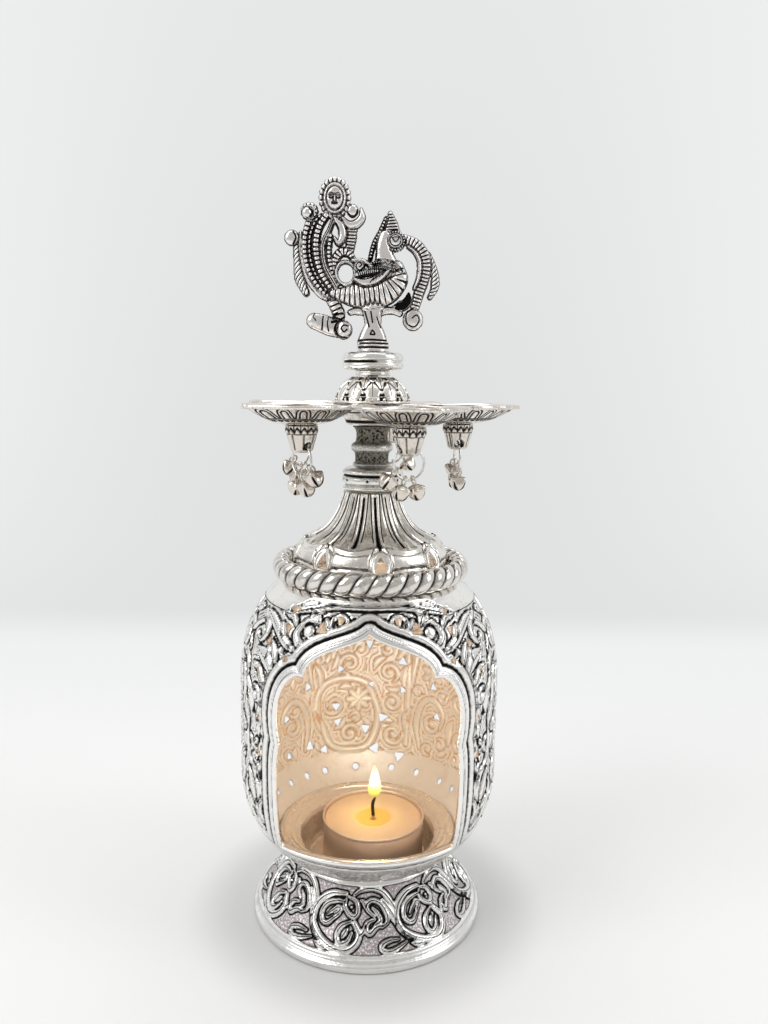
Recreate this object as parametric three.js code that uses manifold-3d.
// Peacock tealight holder: a pierced white-metal lantern for one tealight, with a fluted roof,
// a turned stem, a plate of five small lamps with bells, and a cast peacock on top.
// Millimetres, +Z up. The origin is the centre of the foot on the table, and the arch faces -Y.
import * as THREE from "three";
import { mergeVertices } from "three/addons/utils/BufferGeometryUtils.js";
import Module from "manifold-3d";

const wasm = await Module();
wasm.setup();

// Clearances
const SEAT_GAP = 0.3; // between pieces that rest on each other
const BORE_GAP = 0.3; // around the rod and the screw in their holes
const ARCH_GAP = 0.3; // around the arch moulding in the barrel's cut

// Sheet metal
const FOOT_SHEET = 1.3;
const BARREL_SHEET = 1.6;
const ROOF_SHEET = 1.4;
const PAN_SHEET = 0.8;
const PLATE_SHEET = 1.1;
const DOME_SHEET = 1.2;

// Foot
const FOOT_HEIGHT = 24.0;
const FOOT_RIM_R = 42.2;
const FOOT_RIM_H = 2.4;
const FOOT_STEP_IN = 1.5; // the flare starts this far inside the rim
const FOOT_STEP_H = 2.2;
const FOOT_FLARE_SAG = 1.2; // how far the flare bellies below a straight cone
const WELL_DEPTH = 7.8;

// Barrel: a straight belly between two quarter ellipses
const BARREL_H = 101.1;
const BELLY_R = 46.2;
const BELLY_LOW = 31.7; // above the barrel's own base
const BELLY_HIGH = 65.7;
const BOWL_BEND = [34.5, 36.0]; // radial and vertical half axes below the belly
const SHOULDER_BEND = [24.6, 38.0]; // the same above it
const BARREL_LIP = 1.6; // height of the flat lips at the two ends
const NECK_LIP_W = 2.45; // width of the lip round the opening in the bottom
const THROAT_LIP_W = 5.9; // the same round the opening in the top

// Arch in the front of the barrel; heights are above the barrel's base, as shares of its height
const ARCH_SILL = 0.1642 * BARREL_H;
const ARCH_APEX = 0.905 * BARREL_H;
const ARCH_HALF_W = 30.4; // at the widest lobe
const JAMB_HALF_W = 29.6;
const SILL_HALF_W = 28.2;
const CUSP_HALF_W = 20.8; // at the upper cusp
const CUSP_RISE = 0.7686 * BARREL_H;
const NOTCH_RISE = 0.5292 * BARREL_H; // the small cusp where the lobe meets the jamb
const NOTCH_HALF_W = 28.7;
const MOULDING_W = 3.0;
const MOULDING_PROUD = 1.4;

// Piercings
const PIERCING_SIZE = 2.2;
const BEAD_HOLE_R = 1.4;
const BEAD_HOLE_RISE = 9.6;

// Rope ring on the shoulder
const ROPE_TO_ROOF = 0.4; // gap between the ring and the roof's foot inside it
const ROPE_HALF_W = 3.5;
const ROPE_HALF_H = 4.1;
const ROPE_STRANDS = 28;
const ropeRELIEF = 0.12; // strand relief as a share of the tube's radius

// Roof
const ROOF_H = 30.2;
const ROOF_TURN = 7.6; // degrees from the front to the nearest vent
const ROOF_STEP_IN = 3.0; // the roof's foot stands this far inside the shoulder
const ROOF_TOP_R = 9.5;
const ROOF_PETALS = 8;
const FLUTE_DEPTH = 1.1;
const VENT_W = 3.6;
const VENT_H = 5.2;
const VENT_RISE = 9.2;
const VENT_CUT = 8; // how deep the cutter goes, from just outside the roof

// Stem
const COLLAR_R = 10.4;
const COLLAR_H = 8.7;
const WAIST_R = 5.8;
const SPOOL_RING_R = 7.3;
const LOWER_WAIST_H = 4.9;
const SPOOL_RING_H = 2.5;
const UPPER_WAIST_H = 6.0;

// Plate of five lamps
const LAMPS = 5;
const LAMP_CIRCLE_R = 30.2;
const LAMP_R = 19.0;
const LAMP_DEPTH = 7.4;
const LAMP_TURN = 5.0; // degrees from +X to the first lamp
const SPOUT_LENGTH = 3.2;
const SPOUT_SPREAD = 15.0; // degrees
const HUB_R = 15.4;
const HUB_BASE_R = 8.2;
const HUB_H = 7.1;
const RIM_ABOVE_HUB = 0.6;

// Knobs, rings and bells under the lamps
const KNOB_TOP_R = 6.1;
const KNOB_BASE_R = 3.2;
const KNOB_H = 8.2;
const KNOB_FLUTES = 6;
const HOLE_ABOVE_KNOB_BASE = 2.7;
const RING_R = 5.2;
const RING_WIRE_R = 0.42;
const EYELET_R = 1.45;
const EYELET_WIRE_R = 0.35;
const BELL_R = 2.55;
const BELL_H = 5.4;
// Where each bell hangs on its ring, in degrees round from the bottom, and how far it leans
const BELLS = [
  { name: "a", round: -17, lean: -17 },
  { name: "b", round: 17, lean: 17 },
  { name: "c", round: 66, lean: 38 },
];
const THIRD_BELL_SIDE = [1, -1, 1, 1, -1]; // side of the ring, lamp by lamp

// Dome, disc and rod
const DOME_R = 13.2;
const DOME_TOP_R = 6.6;
const DOME_H = 9.3;
const DISC_R = 10.6;
const DISC_H = 5.9;
const DISC_NECK_R = 5.9;
const DISC_NECK_H = 1.8;
const ROD_R = 1.9;
const ROD_GRIP = 2.6; // how far the rod goes into the peacock's plinth
const NUT_R = 4.0;
const NUT_H = 2.6;
const WASHER_R = 5.0;
const WASHER_H = 0.8;
const ROD_TAIL = 1.2; // thread that stands past its nut

// Peacock, a flat casting that faces -Y
const CAST_UNIT = 1.0; // size of one unit in the drawing of the casting
const PLINTH_R = 5.8;
const PLINTH_H = 3.4;

// Pan and tealight
const PAN_RIM_IN = 2.2; // from the barrel's inside to the raised rim
const rimRISE = 6.7; // above the barrel's base
const PAN_WELL_GAP = 0.7; // between the pan's well and the foot's
const SCREW_HEAD_R = 3.8;
const SCREW_HEAD_H = 1.1;
const TEALIGHT_OFFSET = 2.1; // the candle stands a little to the right in its pan
const CUP_PLAY = 1.0; // between the cup and the edge of the pan's floor, on the side it stands nearer to
const PAN_FLOOR_IN = 2.8; // the pan's floor ends this far inside its well
const CUP_H = 16.8;
const CUP_SHEET = 0.6;
const CUP_DISH = 1.9; // how far the cup's base is dished over the screw's head
const WAX_BELOW_RIM = 1.2;
const POOL_R = 6.6;
const POOL_DEPTH = 0.9;
const WICK_R = 0.7;
const WICK_ABOVE_WAX = 7.4;
const CLIP_R = 6.0;
const CLIP_H = 0.5;

const deg = THREE.MathUtils.degToRad;
const v2 = (x, y) => new THREE.Vector2(x, y);

// Colours of the metal as it stands in the light: bright where it is rubbed, black where it is not
const FINISHES = {
  silver: { color: 0xc9c7c2, roughness: 0.34, metalness: 1.0 },
  patina: { color: 0x6e6b66, roughness: 0.55, metalness: 1.0 },
  steel: { color: 0xa9adb1, roughness: 0.35, metalness: 1.0 },
  foil: { color: 0xd7d8d9, roughness: 0.25, metalness: 1.0 },
  wax: { color: 0xf3e3c4, roughness: 0.55, metalness: 0.0 },
  wick: { color: 0x2a231d, roughness: 0.95, metalness: 0.0 },
};

const holder = new THREE.Group();
holder.name = "peacock_tealight_holder";

// Turns a closed geometry into a solid with its faces outward
function toSolid(geometry) {
  const bare = new THREE.BufferGeometry();
  bare.setAttribute("position", geometry.getAttribute("position").clone());
  if (geometry.index) bare.setIndex(geometry.index.clone());
  const merged = mergeVertices(bare, 1e-4);
  const place = merged.getAttribute("position").array;
  const corner = merged.index.array;
  const triangles = [];
  for (let i = 0; i < corner.length; i += 3) {
    const [a, b, c] = [corner[i], corner[i + 1], corner[i + 2]];
    if (a !== b && b !== c && c !== a) triangles.push(a, b, c);
  }
  const p = (i) => new THREE.Vector3().fromArray(place, i * 3);
  let volume = 0;
  for (let i = 0; i < triangles.length; i += 3) {
    volume += p(triangles[i]).dot(p(triangles[i + 1]).cross(p(triangles[i + 2])));
  }
  if (volume < 0) triangles.reverse();
  return new wasm.Manifold(new wasm.Mesh({
    numProp: 3,
    vertProperties: new Float32Array(place),
    triVerts: new Uint32Array(triangles),
  }));
}

// Gives a solid back as a geometry
function toGeometry(solid) {
  const mesh = solid.getMesh();
  const geometry = new THREE.BufferGeometry();
  geometry.setAttribute("position", new THREE.BufferAttribute(mesh.vertProperties, 3));
  geometry.setIndex(new THREE.BufferAttribute(mesh.triVerts, 1));
  geometry.computeVertexNormals();
  return geometry;
}

// Adds a named piece to a group
function addPiece(name, solid, finish, parent = holder) {
  const mesh = new THREE.Mesh(toGeometry(solid), new THREE.MeshStandardMaterial(FINISHES[finish]));
  mesh.name = name;
  parent.add(mesh);
  return mesh;
}

// Moves every corner of a geometry
function reshape(geometry, move) {
  const place = geometry.getAttribute("position");
  const at = new THREE.Vector3();
  for (let i = 0; i < place.count; i += 1) {
    move(at.fromBufferAttribute(place, i));
    place.setXYZ(i, at.x, at.y, at.z);
  }
  return geometry;
}

// A closed profile of [radius, height] turned about Z
function turn(profile, segments, move = null) {
  const points = profile.map(([r, z]) => v2(r, z));
  const onAxis = profile[0][0] === 0 && profile[profile.length - 1][0] === 0;
  if (!onAxis) points.push(points[0].clone());
  const geometry = new THREE.LatheGeometry(points, segments).rotateX(Math.PI / 2);
  return toSolid(move ? reshape(geometry, move) : geometry);
}

// A round bar on the Z axis, used as a cutter too
const bar = (r, low, high, segments = 12) => turn([[0, low], [r, low], [r, high], [0, high]], segments);

// A quarter-ellipse drop from the belly's radius, for a height past the belly's end
function bend([across, along], past) {
  const share = Math.min(past / along, 1);
  return across * (1 - Math.sqrt(1 - share * share));
}

// Levels, from the table up
const barrelBase = FOOT_HEIGHT + SEAT_GAP;
const barrelTop = barrelBase + BARREL_H;
const roofBase = barrelTop + SEAT_GAP;
const roofTop = roofBase + ROOF_H;
const collarBase = roofTop + SEAT_GAP;
const spoolBase = collarBase + COLLAR_H + SEAT_GAP;
const spoolTop = spoolBase + LOWER_WAIST_H + SPOOL_RING_H + UPPER_WAIST_H;
const hubBase = spoolTop + SEAT_GAP;
const hubTop = hubBase + HUB_H;
const lampRim = hubTop + RIM_ABOVE_HUB;
const domeBase = hubTop + SEAT_GAP;
const discBase = domeBase + DOME_H + SEAT_GAP;
const plinthBase = discBase + DISC_NECK_H + DISC_H + SEAT_GAP;
const wellFloor = FOOT_HEIGHT - WELL_DEPTH;
const panFloor = wellFloor + SEAT_GAP + PAN_SHEET;
const cupBase = panFloor + SEAT_GAP;
const rodBore = ROD_R + BORE_GAP;

// Radius of the barrel's outside at a height above the table
function barrelRadius(z) {
  const rise = z - barrelBase;
  if (rise < BELLY_LOW) return BELLY_R - bend(BOWL_BEND, BELLY_LOW - rise);
  if (rise > BELLY_HIGH) return BELLY_R - bend(SHOULDER_BEND, rise - BELLY_HIGH);
  return BELLY_R;
}

// The barrel's outside moved inward, or outward where the amount is negative
function barrelProfile(inward, levels) {
  const step = 0.01;
  return levels.map((z) => {
    const low = barrelRadius(Math.max(z - step, barrelBase));
    const high = barrelRadius(Math.min(z + step, barrelTop));
    const normal = v2(2 * step, low - high).normalize();
    return [barrelRadius(z) - inward * normal.x, z - inward * normal.y];
  });
}

// Heights where the profile is cut: shares of the bowl, the belly, and shares of the shoulder
const shoulderH = BARREL_H - BELLY_HIGH;
const barrelLevels = [
  ...[0, 0.11, 0.27, 0.46, 0.7, 1].map((share) => barrelBase + share * BELLY_LOW),
  ...[0, 0.32, 0.575, 0.8, 1].map((share) => barrelBase + BELLY_HIGH + share * shoulderH),
];

// The barrel's inside, from the shoulder down
const barrelInside = barrelProfile(BARREL_SHEET, barrelLevels.slice(1, -1)).reverse();

// Radius of the barrel's inside at a height above the table
function insideRadius(z) {
  const above = barrelInside.findLastIndex(([, level]) => level >= z);
  const [[highR, highZ], [lowR, lowZ]] = [barrelInside[above], barrelInside[above + 1]];
  return THREE.MathUtils.mapLinear(z, lowZ, highZ, lowR, highR);
}

// Radii that follow from the barrel's
const neckR = barrelRadius(barrelBase);
const wellR = neckR - NECK_LIP_W;
const shoulderR = barrelRadius(barrelTop);
const roofBaseR = shoulderR - ROOF_STEP_IN;
const ropeR = roofBaseR + ROPE_TO_ROOF + ROPE_HALF_W;
const panWellR = wellR - PAN_WELL_GAP;
const cupR = panWellR - PAN_FLOOR_IN - TEALIGHT_OFFSET - CUP_PLAY;

function makeFoot() {
  const flareR = FOOT_RIM_R - FOOT_STEP_IN;
  const flareLow = FOOT_RIM_H + FOOT_STEP_H;
  const flareHigh = FOOT_HEIGHT - 1.6;
  const flare = (inward) => [0, 0.33, 0.67, 1].map((t) => {
    const sag = FOOT_FLARE_SAG * 4 * t * (1 - t);
    return [
      THREE.MathUtils.lerp(flareR, neckR + 0.2, t) - sag - inward,
      THREE.MathUtils.lerp(flareLow, flareHigh, t) - inward * 0.4,
    ];
  });
  const outside = [[FOOT_RIM_R, 0], [FOOT_RIM_R, FOOT_RIM_H], ...flare(0), [neckR - 0.9, FOOT_HEIGHT]];
  const well = [
    [wellR, FOOT_HEIGHT],
    [wellR, wellFloor + 1],
    [wellR - 1, wellFloor],
    [rodBore, wellFloor],
    [rodBore, wellFloor - FOOT_SHEET],
    [wellR - 0.4, wellFloor - FOOT_SHEET],
    [wellR + FOOT_SHEET, wellFloor + 0.6],
  ];
  const inside = flare(FOOT_SHEET).reverse().slice(1);
  const rimInside = FOOT_RIM_R - FOOT_STEP_IN - FOOT_SHEET * 0.6;
  addPiece("foot", turn([...outside, ...well, ...inside, [rimInside, 0]], 32), "silver");
}

// Outline of the arch in front view, x across and y up from the barrel's base
function archOutline() {
  // Ends and handles of three curves, from the apex down the right side to the sill
  const side = [
    [0, ARCH_APEX],
    [4.5, ARCH_APEX - 4],
    [CUSP_HALF_W - 1, CUSP_RISE + 9],
    [CUSP_HALF_W, CUSP_RISE],
    [ARCH_HALF_W - 4, CUSP_RISE + 1.5],
    [ARCH_HALF_W + 1.6, NOTCH_RISE + 14],
    [NOTCH_HALF_W, NOTCH_RISE],
    [JAMB_HALF_W + 0.8, NOTCH_RISE - 5],
    [JAMB_HALF_W + 0.4, ARCH_SILL + 14],
    [SILL_HALF_W, ARCH_SILL],
  ];
  const path = new THREE.Path().moveTo(...side[0]);
  for (let i = 1; i < side.length; i += 3) {
    path.bezierCurveTo(...side[i], ...side[i + 1], ...side[i + 2]);
  }
  const right = path.getPoints(5);
  const left = right.slice(1).reverse().map((point) => v2(-point.x, point.y));
  return [...right, ...left];
}

// The outline moved outward by a distance
function growOutline(points, distance) {
  const ring = points.filter((point, i) => i === 0 || point.distanceTo(points[i - 1]) > 1e-6);
  if (ring[0].distanceTo(ring[ring.length - 1]) < 1e-6) ring.pop();
  const turnSign = THREE.ShapeUtils.isClockWise(ring) ? 1 : -1;
  return ring.map((point, i) => {
    const before = ring[(i + ring.length - 1) % ring.length];
    const after = ring[(i + 1) % ring.length];
    const one = point.clone().sub(before).normalize();
    const two = after.clone().sub(point).normalize();
    const outOne = v2(-one.y, one.x).multiplyScalar(turnSign);
    const outTwo = v2(-two.y, two.x).multiplyScalar(turnSign);
    const mitre = outOne.clone().add(outTwo).normalize();
    const reach = distance / Math.max(mitre.dot(outTwo), 0.55);
    return point.clone().addScaledVector(mitre, reach);
  });
}

// A front-view outline pushed through the front half of the barrel
function frontCutter(points) {
  const depth = BELLY_R + 10;
  const geometry = new THREE.ExtrudeGeometry(new THREE.Shape(points), { depth, bevelEnabled: false });
  return toSolid(geometry.rotateX(Math.PI / 2).translate(0, 0, barrelBase));
}

// Piercings: degrees, share of the barrel's height, size, and the way the triangle's point looks.
// Those of the front are counted from the front's middle and are the same on its two sides.
const FRONT_PIERCINGS = [
  [14.5, 0.942, 0.8, -90],
  [23.5, 0.913, 1.15, 90],
  [43, 0.952, 0.9, 160],
  [42, 0.899, 0.9, -90],
  [52.5, 0.841, 1.0, 100],
  [39, 0.805, 0.7, 60],
  [56, 0.739, 1.0, 80],
  [54.5, 0.573, 0.9, 90],
  [54.5, 0.453, 1.0, 80],
  [63, 0.65, 0.9, -90],
  [66, 0.516, 0.9, 30],
  [64, 0.343, 0.9, 90],
  [70, 0.793, 1.0, -70],
  [59, 0.234, 0.9, -90],
  [78, 0.9, 1.0, 90],
  [80, 0.42, 1.0, 120],
  [82, 0.66, 1.0, 90],
];
// Those of the back are counted from the back's middle, plus to the right as seen through the arch
const BACK_PIERCINGS = [
  [-15.6, 0.5, 0.9, 110],
  [-34.3, 0.444, 1.0, 100],
  [1.2, 0.432, 0.8, 60],
  [18.5, 0.414, 0.9, 120],
  [-17.6, 0.342, 1.1, 150],
  [-48.4, 0.334, 1.1, 110],
  [7.3, 0.289, 1.2, 10],
  [-17.1, 0.273, 1.0, 40],
  [-1.8, 0.241, 1.1, -90],
  [38.7, 0.33, 1.0, -40],
  [-34.6, 0.193, 1.1, 80],
  [-25.9, 0.169, 1.0, 180],
  [-49.2, 0.184, 1.0, 90],
  [3.5, 0.158, 1.2, 60],
  [18.1, 0.137, 1.2, 30],
  [36.4, 0.452, 1.0, 100],
  [18.2, 0.538, 1.1, -30],
  [-30, 0.59, 1.0, 90],
  [0, 0.61, 1.0, -90],
  [29, 0.63, 1.0, 90],
  [-14, 0.729, 1.0, 60],
  [14, 0.749, 1.0, -60],
  [-42, 0.749, 1.0, 120],
  [42, 0.788, 1.0, 90],
  [0, 0.867, 1.0, 90],
  [-27, 0.877, 1.0, -90],
  [27, 0.877, 1.0, -90],
  [-62, 0.393, 1.0, 90],
  [-64, 0.57, 1.0, -90],
  [-60, 0.86, 1.0, 90],
  [60, 0.24, 1.0, 90],
  [56, 0.55, 1.0, -90],
  [62, 0.87, 1.0, 90],
];
// Round holes low in the back, in degrees from its middle
const BEAD_HOLES = [-80, -66.8, -53.6, -40.8, -27.9, -8, 14.8, 31.5, 49.2, 60.6, 76];

// A radial cutter with the given flat outline, at an angle from the front and a height
function radialCutter(outline, angle, z) {
  const depth = BARREL_SHEET * 6;
  const geometry = new THREE.ExtrudeGeometry(new THREE.Shape(outline), { depth, bevelEnabled: false });
  geometry.translate(0, 0, -depth / 2).rotateX(Math.PI / 2);
  geometry.translate(0, -barrelRadius(z) + BARREL_SHEET, z).rotateZ(deg(angle));
  return toSolid(geometry);
}

function makeBarrel() {
  const outside = barrelProfile(0, barrelLevels);
  const throatR = shoulderR - THROAT_LIP_W;
  const top = [[throatR, barrelTop], [throatR, barrelTop - BARREL_LIP]];
  const bottom = [[wellR, barrelBase + BARREL_LIP], [wellR, barrelBase]];
  const underRoof = [ropeR - ROPE_HALF_W, barrelTop - BARREL_LIP - 0.4];
  let barrel = turn([...outside, ...top, underRoof, ...barrelInside, ...bottom], 40);
  barrel = barrel.subtract(frontCutter(growOutline(archOutline(), MOULDING_W + ARCH_GAP)));
  const mirrored = FRONT_PIERCINGS.map(([angle, rise, size, point]) => [-angle, rise, size, 180 - point]);
  const behind = BACK_PIERCINGS.map(([angle, rise, size, point]) => [180 - angle, rise, size, 180 - point]);
  for (const [angle, rise, size, point] of [...FRONT_PIERCINGS, ...mirrored, ...behind]) {
    const corners = [0, 120, 240].map((around) => {
      const a = deg(point + around);
      const reach = size * PIERCING_SIZE * (around === 0 ? 1.25 : 1);
      return v2(reach * Math.cos(a), reach * Math.sin(a));
    });
    barrel = barrel.subtract(radialCutter(corners, angle, barrelBase + rise * BARREL_H));
  }
  for (const angle of BEAD_HOLES) {
    const round = new THREE.EllipseCurve(0, 0, BEAD_HOLE_R, BEAD_HOLE_R).getPoints(6).slice(0, 6);
    barrel = barrel.subtract(radialCutter(round, 180 - angle, barrelBase + BEAD_HOLE_RISE));
  }
  addPiece("lantern_body", barrel, "silver");
}

function makeArchFrame() {
  const inner = archOutline();
  const outer = growOutline(inner, MOULDING_W);
  const shell = [
    ...barrelProfile(-MOULDING_PROUD, barrelLevels),
    ...barrelProfile(BARREL_SHEET, barrelLevels).reverse(),
  ];
  const ring = frontCutter(outer).subtract(frontCutter(growOutline(inner, 0)));
  addPiece("arch_frame", turn(shell, 40).intersect(ring), "silver");
}

function makeRopeRing() {
  const around = ROPE_STRANDS * 3;
  const geometry = new THREE.TorusGeometry(ropeR, 1, 6, around);
  reshape(geometry, (at) => {
    const angle = Math.atan2(at.y, at.x);
    // The tube stands on a corner, so that its lowest line lies on the shoulder
    const roll = Math.atan2(at.z, Math.hypot(at.x, at.y) - ropeR) + Math.PI / 6;
    const size = 1 + ropeRELIEF * (Math.cos(ROPE_STRANDS * angle + 2 * roll) - 1);
    const r = ropeR + Math.cos(roll) * ROPE_HALF_W * size;
    at.set(r * Math.cos(angle), r * Math.sin(angle), Math.sin(roll) * ROPE_HALF_H * size);
  });
  geometry.translate(0, 0, roofBase + ROPE_HALF_H);
  addPiece("rope_ring", toSolid(geometry), "silver");
}

// Roof profile as shares of its height: [radius between base and top, share of height]
const ROOF_CURVE = [
  [1, 0], [0.985, 0.18], [0.935, 0.31], [0.785, 0.44], [0.39, 0.57], [0.15, 0.76], [0, 1],
];

function makeRoof() {
  const radius = (share) => THREE.MathUtils.lerp(ROOF_TOP_R, roofBaseR, share);
  const outside = ROOF_CURVE.map(([share, rise]) => [radius(share), roofBase + rise * ROOF_H]);
  const flutes = ROOF_PETALS * 2;
  const outer = turn([[0, roofBase], ...outside, [0, roofTop]], flutes * 3, (at) => {
    const r = Math.hypot(at.x, at.y);
    if (r === 0) return;
    const rise = (at.z - roofBase) / ROOF_H;
    const fadeIn = THREE.MathUtils.smoothstep(rise, 0.15, 0.45);
    const fade = fadeIn * (1 - 0.6 * THREE.MathUtils.smoothstep(rise, 0.7, 1));
    const angle = Math.atan2(at.y, at.x);
    const dip = FLUTE_DEPTH * fade * 0.5 * (1 + Math.cos(flutes * angle));
    at.x *= (r - dip) / r;
    at.y *= (r - dip) / r;
  });
  const shrink = ROOF_SHEET + FLUTE_DEPTH;
  const ceiling = roofTop - ROOF_SHEET;
  const inside = [[0, roofBase - 1], [roofBaseR - ROOF_SHEET, roofBase - 1]];
  for (const [share, rise] of ROOF_CURVE.slice(1, 6)) {
    inside.push([radius(share) - shrink, roofBase + rise * ROOF_H - ROOF_SHEET]);
  }
  inside.push([ROOF_TOP_R - shrink + 0.8, ceiling], [0, ceiling]);
  let roof = outer.subtract(turn(inside, 20)).subtract(bar(rodBore, roofBase, roofTop + 1));
  const drop = [
    v2(0, VENT_H * 0.6),
    v2(VENT_W * 0.42, 0),
    v2(VENT_W * 0.36, -VENT_H * 0.3),
    v2(-VENT_W * 0.36, -VENT_H * 0.3),
    v2(-VENT_W * 0.42, 0),
  ];
  for (let k = 0; k < ROOF_PETALS; k += 1) {
    const flat = { depth: VENT_CUT, bevelEnabled: false };
    const cutter = new THREE.ExtrudeGeometry(new THREE.Shape(drop), flat);
    cutter.rotateX(Math.PI / 2).translate(0, VENT_CUT - 1 - roofBaseR, roofBase + VENT_RISE);
    roof = roof.subtract(toSolid(cutter.rotateZ(deg((k * 360) / ROOF_PETALS))));
  }
  addPiece("cone_roof", roof.rotate([0, 0, ROOF_TURN]), "silver");
}

function makeStem() {
  const c = collarBase;
  const collar = [
    [rodBore, c], [COLLAR_R - 1.9, c], [COLLAR_R - 0.3, c + 0.9], [COLLAR_R - 0.9, c + 2.2],
    [COLLAR_R - 0.2, c + 2.8],
    [COLLAR_R - 0.1, c + 5], [COLLAR_R - 0.8, c + 5.5], [COLLAR_R, c + 6.1], [COLLAR_R - 0.2, c + 7.4],
    [WAIST_R + 1.2, c + COLLAR_H], [rodBore, c + COLLAR_H],
  ];
  addPiece("stem_collar", turn(collar, 20), "silver");
  const s = spoolBase;
  const ringLow = s + LOWER_WAIST_H;
  const ringHigh = ringLow + SPOOL_RING_H;
  const spool = [
    [rodBore, s], [WAIST_R + 1.0, s], [WAIST_R, s + 0.9], [WAIST_R + 0.2, ringLow - 0.3],
    [SPOOL_RING_R - 0.3, ringLow], [SPOOL_RING_R, ringLow + SPOOL_RING_H / 2],
    [SPOOL_RING_R - 0.4, ringHigh],
    [WAIST_R, ringHigh + 0.4], [WAIST_R - 0.4, spoolTop - 2], [WAIST_R + 1.1, spoolTop],
    [rodBore, spoolTop],
  ];
  addPiece("stem_spool", turn(spool, 18), "patina");
}

// A shallow spherical dish, hollow side up, with its rim at height zero
function dishProfile(rimR, depth, steps) {
  const ball = (rimR * rimR + depth * depth) / (2 * depth);
  const sweep = Math.asin(rimR / ball);
  const points = [];
  for (let i = 0; i <= steps; i += 1) {
    const a = (sweep * i) / steps;
    points.push([ball * Math.sin(a), ball - depth - ball * Math.cos(a)]);
  }
  return points;
}

// Draws the rim out into a spout on the side that looks along +X
function drawSpout(at) {
  const r = Math.hypot(at.x, at.y);
  const away = Math.abs(Math.atan2(at.y, at.x)) / deg(SPOUT_SPREAD);
  const reach = SPOUT_LENGTH * (Math.min(r / LAMP_R, 1) ** 3) * Math.exp(-away * away);
  at.x *= 1 + reach / Math.max(r, 1);
  at.y *= 1 + reach / Math.max(r, 1);
}

const lampAngle = (k) => LAMP_TURN + (k * 360) / LAMPS;

function makeLampPlate() {
  const outerDish = turn([...dishProfile(LAMP_R, LAMP_DEPTH, 3), [0, 0]], 20, drawSpout);
  const hollow = dishProfile(LAMP_R - PLATE_SHEET, LAMP_DEPTH - PLATE_SHEET, 3);
  const innerDish = turn([...hollow, [LAMP_R - PLATE_SHEET, 2], [0, 2]], 20, drawSpout);
  const hub = [
    [0, hubBase], [HUB_BASE_R, hubBase], [HUB_BASE_R + 1.6, hubBase + 2.6], [HUB_R - 1, hubTop - 1.2],
    [HUB_R, hubTop], [0, hubTop],
  ];
  let plate = turn(hub, 20);
  const place = (solid, k) => solid.translate([LAMP_CIRCLE_R, 0, lampRim]).rotate([0, 0, lampAngle(k)]);
  for (let k = 0; k < LAMPS; k += 1) plate = plate.add(place(outerDish, k));
  for (let k = 0; k < LAMPS; k += 1) plate = plate.subtract(place(innerDish, k));
  const domeSeat = bar(DOME_R + SEAT_GAP * 2, hubTop, lampRim + 1, 24);
  addPiece("lamp_plate", plate.subtract(domeSeat).subtract(bar(rodBore, hubBase - 1, lampRim + 1)),
    "silver");
}

// Heights in a lamp's own group, whose origin is the middle of the knob's cross hole
const dishUnderside = lampRim - LAMP_DEPTH;
const knobBase = dishUnderside - SEAT_GAP - KNOB_H;
const holeLevel = knobBase + HOLE_ABOVE_KNOB_BASE;

function makeKnob() {
  const low = knobBase - holeLevel;
  const top = low + KNOB_H;
  const knob = turn([
    [0, low], [KNOB_BASE_R - 0.5, low], [KNOB_BASE_R, low + 0.6], [KNOB_BASE_R + 0.6, low + 2.6],
    [KNOB_TOP_R - 0.8, top - 1.4], [KNOB_TOP_R, top + 0.4], [0, top + 0.9],
  ], KNOB_FLUTES * 2, (at) => {
    const r = Math.hypot(at.x, at.y);
    const dip = 1 - 0.035 * (1 + Math.cos(KNOB_FLUTES * Math.atan2(at.y, at.x)));
    if (r > KNOB_BASE_R - 0.1) {
      at.x *= dip;
      at.y *= dip;
    }
  });
  const clearDish = dishProfile(LAMP_R, LAMP_DEPTH + SEAT_GAP, 3);
  const dish = turn([...clearDish, [0, 0]], 12).translate([0, 0, lampRim - holeLevel]);
  // A hole flared at both ends, so that the round ring can swing in it
  const flare = (y) => {
    const lean = Math.min(Math.abs(y) / RING_R, 0.9);
    const drop = RING_R * (1 - Math.sqrt(1 - lean * lean));
    return SEAT_GAP + drop + RING_WIRE_R / Math.sqrt(1 - lean * lean);
  };
  const reach = KNOB_BASE_R + 1.0;
  const stations = [-1, -0.55, 0, 0.55, 1].map((share) => share * reach);
  const profile = [[0, -reach], ...stations.map((y) => [flare(y), y]), [0, reach]];
  const hole = turn(profile, 8).rotate([90, 0, 0]);
  return knob.subtract(dish).subtract(hole);
}

// A wire ring in the YZ plane that hangs from the origin
function makeRing() {
  const geometry = new THREE.TorusGeometry(RING_R, RING_WIRE_R, 5, 16);
  return toSolid(geometry.rotateY(Math.PI / 2).translate(0, 0, -RING_R));
}

// A bell folded from a square of sheet with four petals; its eyelet hangs on a wire at the origin
function makeBell() {
  const eyeletDrop = EYELET_R - EYELET_WIRE_R - RING_WIRE_R - SEAT_GAP;
  const eyelet = new THREE.TorusGeometry(EYELET_R, EYELET_WIRE_R, 4, 8);
  eyelet.rotateZ(Math.PI / 8).rotateX(Math.PI / 2).translate(0, 0, -eyeletDrop);
  const top = -eyeletDrop - EYELET_R + 0.1;
  const body = turn([
    [0, top - BELL_H], [BELL_R * 0.8, top - BELL_H * 0.74], [BELL_R, top - BELL_H * 0.45],
    [BELL_R * 0.8, top - BELL_H * 0.14], [0, top],
  ], 8, (at) => {
    // The four folds draw in towards the foot of the bell
    const low = THREE.MathUtils.smoothstep(top - at.z, BELL_H * 0.4, BELL_H * 0.8);
    const fold = 1 - 0.16 * low * (1 + Math.cos(4 * Math.atan2(at.y, at.x)));
    at.x *= fold;
    at.y *= fold;
  });
  return toSolid(eyelet).add(body);
}

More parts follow.
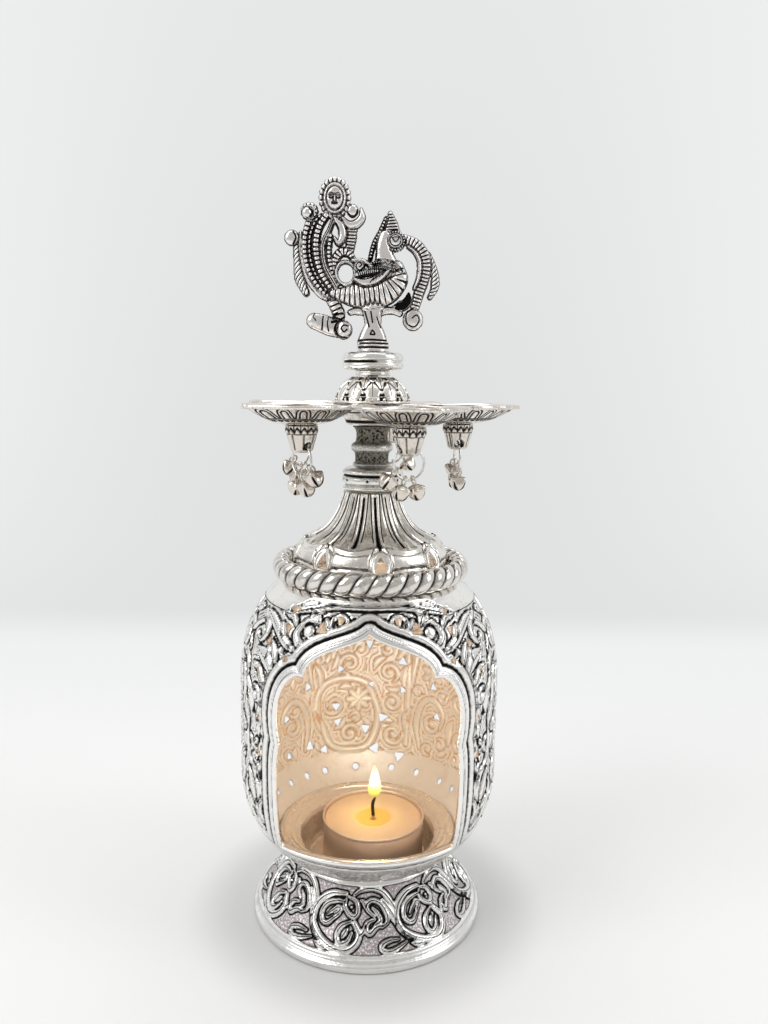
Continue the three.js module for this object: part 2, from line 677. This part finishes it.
function makeHangings() {
  const knob = makeKnob();
  const ring = makeRing();
  const bell = makeBell();
  for (let k = 0; k < LAMPS; k += 1) {
    const lamp = new THREE.Group();
    lamp.rotation.z = deg(lampAngle(k));
    const under = new THREE.Group();
    under.position.set(LAMP_CIRCLE_R, 0, holeLevel);
    lamp.add(under);
    holder.add(lamp);
    addPiece(`lamp_knob_${k + 1}`, knob, "silver", under);
    addPiece(`bell_ring_${k + 1}`, ring, "silver", under);
    for (const { name, round, lean } of BELLS) {
      const side = THIRD_BELL_SIDE[k];
      const a = deg(round * side);
      const mesh = addPiece(`bell_${k + 1}_${name}`, bell, "silver", under);
      mesh.position.set(0, RING_R * Math.sin(a), -RING_R - RING_R * Math.cos(a));
      mesh.rotation.x = deg(lean * side);
    }
  }
}

function makeDomeAndDisc() {
  const dome = [
    [DOME_R, domeBase], [DOME_R - 0.1, domeBase + 2.2], [DOME_R - 1.5, domeBase + 5.3],
    [DOME_R - 3.9, domeBase + 7.6],
    [DOME_TOP_R, domeBase + DOME_H], [rodBore, domeBase + DOME_H],
    [rodBore, domeBase + DOME_H - DOME_SHEET],
    [DOME_R - 4.9, domeBase + 6.4], [DOME_R - 1.5, domeBase + 2], [DOME_R - 1.5, domeBase],
  ];
  addPiece("plate_dome", turn(dome, 20), "silver");
  const d = discBase + DISC_NECK_H;
  const disc = [
    [rodBore, discBase], [DISC_NECK_R, discBase], [DISC_NECK_R, d], [DISC_R - 1.4, d],
    [DISC_R - 0.2, d + 0.8],
    [DISC_R, d + 1.9], [DISC_R - 0.9, d + 2.6], [DISC_R - 0.2, d + 3.2], [DISC_R - 0.2, d + 5],
    [DISC_R - 1.2, d + DISC_H], [rodBore, d + DISC_H],
  ];
  addPiece("finial_disc", turn(disc, 20), "silver");
}

// A rounded limb of the casting along points [x, height], with half widths and one half depth
function limb(points, halfWidths, halfDepth, steps = 4, sides = 6) {
  const curve = new THREE.CatmullRomCurve3(points.map(([x, z]) => new THREE.Vector3(x, 0, z)));
  const geometry = new THREE.CylinderGeometry(1, 1, 1, sides, steps);
  const halfWidth = (t) => {
    const place = t * (halfWidths.length - 1);
    const i = Math.min(Math.floor(place), halfWidths.length - 2);
    return THREE.MathUtils.lerp(halfWidths[i], halfWidths[i + 1], place - i);
  };
  reshape(geometry, (at) => {
    const t = THREE.MathUtils.clamp(at.y + 0.5, 0, 1);
    const middle = curve.getPointAt(t);
    const along = curve.getTangentAt(t);
    const width = halfWidth(t);
    const across = at.x * width;
    const depth = Math.min(halfDepth, width * 1.2);
    at.set(middle.x - along.z * across, at.z * depth, middle.z + along.x * across);
  });
  return toSolid(geometry);
}

// An oval boss of the casting, facing -Y
function boss(x, z, halfWidth, halfHeight, halfDepth, segments = 8) {
  const geometry = new THREE.SphereGeometry(1, segments, 4).rotateX(Math.PI / 2);
  return toSolid(geometry.scale(halfWidth, halfDepth, halfHeight).translate(x, 0, z));
}

function makePeacock() {
  const pieces = [
    // body, neck, head and crest
    limb([[-14.0, 20.6], [-8.5, 19.4], [-1, 20.9], [5, 22.0], [10.2, 22.4]],
      [2.2, 4.6, 7.2, 6.6, 2.2], 3.6, 5, 8),
    limb([[4.2, 25.5], [2.9, 30.6], [3.6, 35.0], [6.0, 38.0]], [4.4, 3.2, 2.5, 2.4], 2.4, 3),
    boss(7.0, 36.7, 3.4, 3.4, 2.6),
    limb([[5.4, 38.5], [5.2, 42.0], [5.3, 46.6]], [2.6, 1.9, 1.0], 1.5, 2),
    limb([[4.4, 43.6], [1.9, 40.0], [0.1, 36.0], [-1.2, 29.6]], [0.9, 0.9, 0.9, 0.9], 1.2, 4, 4),
    // wing leaf and the small whorl behind it
    limb([[-6.7, 24.4], [-3.1, 23.0], [1.6, 24.2], [5.6, 26.2]], [1.0, 2.0, 1.8, 0.7], 4.2, 3, 5),
    boss(-5.0, 28.2, 2.1, 2.0, 2.4, 8),
    // the band from the beak down to its curl, and the fin outside it
    limb([[8.6, 37.4], [13.2, 35.4], [17.0, 31.8], [18.2, 26.9], [17.0, 21.9], [14.8, 17.8],
      [13.8, 12.5]],
      [1.6, 2.0, 2.1, 2.2, 2.1, 1.7, 1.6], 2.0, 7, 5),
    boss(13.5, 10.8, 3.4, 3.3, 2.4),
    limb([[18.9, 31.8], [20.6, 26.4], [20.8, 21.8], [19.0, 18.4]], [0.7, 1.5, 1.6, 0.9], 1.1, 4, 5),
    limb([[6.0, 17.0], [9.5, 15.4], [13.4, 14.8]], [2.2, 1.5, 1.8], 1.8, 2, 5),
    limb([[8.8, 21.5], [12.5, 19.2], [15.6, 18.6]], [2.6, 1.6, 1.6], 1.8, 2, 5),
    // tail plumes, outermost first
    limb([[-26.4, 36.0], [-26.5, 28.2], [-25.0, 22.6], [-22.4, 18.4]], [1.2, 1.6, 1.6, 1.2], 1.3, 4, 4),
    limb([[-22.4, 43.0], [-24.1, 37.0], [-23.1, 29.7], [-20.2, 23.4], [-13.5, 18.0]],
      [1.5, 1.7, 1.8, 1.7, 1.6], 1.7, 5, 5),
    limb([[-17.4, 44.0], [-19.6, 37.9], [-19.5, 31.5], [-17.6, 25.5], [-12.0, 19.6]],
      [1.7, 2.3, 2.3, 2.0, 1.8], 2.0, 5, 5),
    limb([[-13.6, 43.6], [-15.4, 37.2], [-15.8, 31.5], [-14.9, 26.0], [-10.5, 20.0]],
      [1.8, 1.9, 1.7, 1.6, 1.8], 2.3, 5, 5),
    // medallion and the balls at the plume tips
    boss(-13.4, 50.0, 5.3, 6.9, 2.3, 12),
    boss(-21.4, 45.0, 2.7, 2.6, 2.0, 8),
    boss(-27.4, 37.0, 2.2, 2.3, 1.7, 8),
    // leaf curl, crescent and its band
    limb([[-12.2, 43.4], [-10.9, 39.8], [-12.0, 36.6]], [1.7, 1.8, 1.5], 1.8, 2, 5),
    limb([[-11.2, 44.0], [-7.6, 42.3], [-4.8, 44.2], [-5.4, 46.9]], [1.3, 1.6, 1.4, 0.8], 1.7, 5, 5),
    limb([[-7.5, 42.4], [-7.7, 37.5], [-7.9, 32.4]], [2.2, 2.1, 1.5], 1.6, 2, 5),
    // ribbed curl over the ring behind the back
    limb([[-14.2, 27.4], [-13.1, 31.4], [-10.2, 32.9], [-7.2, 31.8], [-5.2, 28.6]],
      [1.5, 1.7, 1.8, 1.7, 1.5], 2.0, 5, 5),
    // lower left roll
    limb([[-15.4, 18.6], [-12.4, 14.8], [-9.0, 13.0]], [1.8, 1.8, 1.6], 1.7, 2, 5),
    limb([[-14.6, 15.4], [-15.4, 12.0], [-16.0, 9.5]], [2.4, 2.2, 2.0], 1.9, 2, 5),
    limb([[-20.9, 10.4], [-17.4, 9.9], [-13.6, 8.6], [-8.2, 7.2]], [1.9, 2.9, 3.3, 2.6], 2.3, 3, 6),
    // leg and the casting's own plinth
    limb([[0.9, 15.6], [0.0, 11.0], [-0.2, 6.4], [0, PLINTH_H - 0.6]], [4.4, 2.9, 3.6, 5.3], 3.0, 3, 6),
  ];
  const plinth = turn([
    [0, 0], [PLINTH_R, 0], [PLINTH_R, 1.1], [PLINTH_R - 0.7, 1.5], [PLINTH_R - 0.2, 2.0],
    [PLINTH_R - 0.4, PLINTH_H],
    [0, PLINTH_H],
  ], 16);
  const unit = [CAST_UNIT, CAST_UNIT, CAST_UNIT];
  const casting = pieces.reduce((sum, piece) => sum.add(piece)).scale(unit).add(plinth);
  const peacock = addPiece("peacock_finial", casting.subtract(bar(rodBore, -1, ROD_GRIP + SEAT_GAP)),
    "silver");
  peacock.position.z = plinthBase;
}

// A hexagon nut or a washer with a bore, between two heights
function nutOrWasher(outerR, low, high, segments) {
  return turn([[rodBore, low], [outerR, low], [outerR, high], [rodBore, high]], segments);
}

function makeFasteners() {
  const washerTop = roofTop - ROOF_SHEET - SEAT_GAP;
  const nutTop = washerTop - WASHER_H - SEAT_GAP;
  const nutBase = nutTop - NUT_H;
  addPiece("rod_washer", nutOrWasher(WASHER_R, washerTop - WASHER_H, washerTop, 12), "steel");
  addPiece("rod_nut", nutOrWasher(NUT_R, nutBase, nutTop, 6), "steel");
  addPiece("tie_rod", bar(ROD_R, nutBase - ROD_TAIL, plinthBase + ROD_GRIP, 10), "steel");
  const underWell = wellFloor - FOOT_SHEET - SEAT_GAP;
  const baseNutTop = underWell - WASHER_H - SEAT_GAP;
  addPiece("base_washer", nutOrWasher(WASHER_R, underWell - WASHER_H, underWell, 12), "steel");
  addPiece("base_nut", nutOrWasher(NUT_R, baseNutTop - NUT_H, baseNutTop, 6), "steel");
  const head = panFloor + SEAT_GAP;
  const screw = turn([
    [0, baseNutTop - NUT_H - ROD_TAIL], [ROD_R, baseNutTop - NUT_H - ROD_TAIL], [ROD_R, head],
    [SCREW_HEAD_R, head],
    [SCREW_HEAD_R - 0.3, head + SCREW_HEAD_H * 0.7], [SCREW_HEAD_R * 0.5, head + SCREW_HEAD_H],
    [0, head + SCREW_HEAD_H],
  ], 12);
  addPiece("base_screw", screw, "steel");
}

function makePan() {
  const rim = barrelBase + rimRISE;
  const mouth = barrelBase + BARREL_LIP;
  const t = PAN_SHEET;
  const flangeTop = rim - 0.4;
  const flangeR = insideRadius(flangeTop - t) - SEAT_GAP;
  const rimR = flangeR + SEAT_GAP - PAN_RIM_IN;
  const outside = [
    [flangeR, flangeTop], [flangeR, flangeTop - t], [rimR + 0.2, flangeTop - t],
    [panWellR, mouth + SEAT_GAP], [panWellR - 0.4, panFloor + 2.2], [panWellR - 2.4, panFloor - t],
    [rodBore, panFloor - t],
  ];
  const inside = [
    [rodBore, panFloor], [panWellR - PAN_FLOOR_IN, panFloor], [panWellR - 1.2, panFloor + 2.4],
    [panWellR - t, mouth + SEAT_GAP + 0.4], [rimR - 0.6, rim - 0.2], [rimR, rim + 0.4],
    [rimR + 0.8, rim],
  ];
  addPiece("candle_pan", turn([...outside, ...inside], 26), "silver");
}

function makeTealight() {
  const tealight = new THREE.Group();
  tealight.position.x = TEALIGHT_OFFSET;
  holder.add(tealight);
  const b = cupBase;
  const t = CUP_SHEET;
  const top = b + CUP_H;
  const wall = cupR - 0.3;
  const cup = [
    [0, b + CUP_DISH], [wall - 5.7, b + CUP_DISH], [wall - 4.3, b], [wall - 0.6, b], [wall, b + 0.7],
    [wall, top - 0.8],
    [cupR, top], [wall - t, top], [wall - t, b + t], [wall - 3.9, b + t], [wall - 5.3, b + CUP_DISH + t],
    [0, b + CUP_DISH + t],
  ];
  addPiece("tealight_cup", turn(cup, 22), "foil", tealight);
  const clipBase = b + CUP_DISH + t + SEAT_GAP;
  const wickBase = clipBase + CLIP_H + SEAT_GAP;
  addPiece("wick_clip", bar(CLIP_R, clipBase, clipBase + CLIP_H, 12), "steel", tealight);
  const waxTop = top - WAX_BELOW_RIM;
  const waxR = wall - t - SEAT_GAP;
  const wickHole = WICK_R + SEAT_GAP;
  const wax = [
    [wickHole, wickBase], [waxR, wickBase], [waxR, waxTop], [POOL_R, waxTop - 0.1],
    [POOL_R - 0.8, waxTop - POOL_DEPTH * 0.8],
    [wickHole, waxTop - POOL_DEPTH],
  ];
  addPiece("tealight_wax", turn(wax, 22), "wax", tealight);
  const wickTop = waxTop + WICK_ABOVE_WAX;
  const wick = limb([[0, wickBase], [0, waxTop], [-0.5, waxTop + WICK_ABOVE_WAX / 2], [0.5, wickTop]],
    [WICK_R, WICK_R, WICK_R, WICK_R * 0.7], WICK_R, 8, 6);
  addPiece("wick", wick, "wick", tealight);
}

makeFoot();
makeBarrel();
makeArchFrame();
makePan();
makeRopeRing();
makeRoof();
makeStem();
makeLampPlate();
makeHangings();
makeDomeAndDisc();
makePeacock();
makeFasteners();
makeTealight();

export default holder;
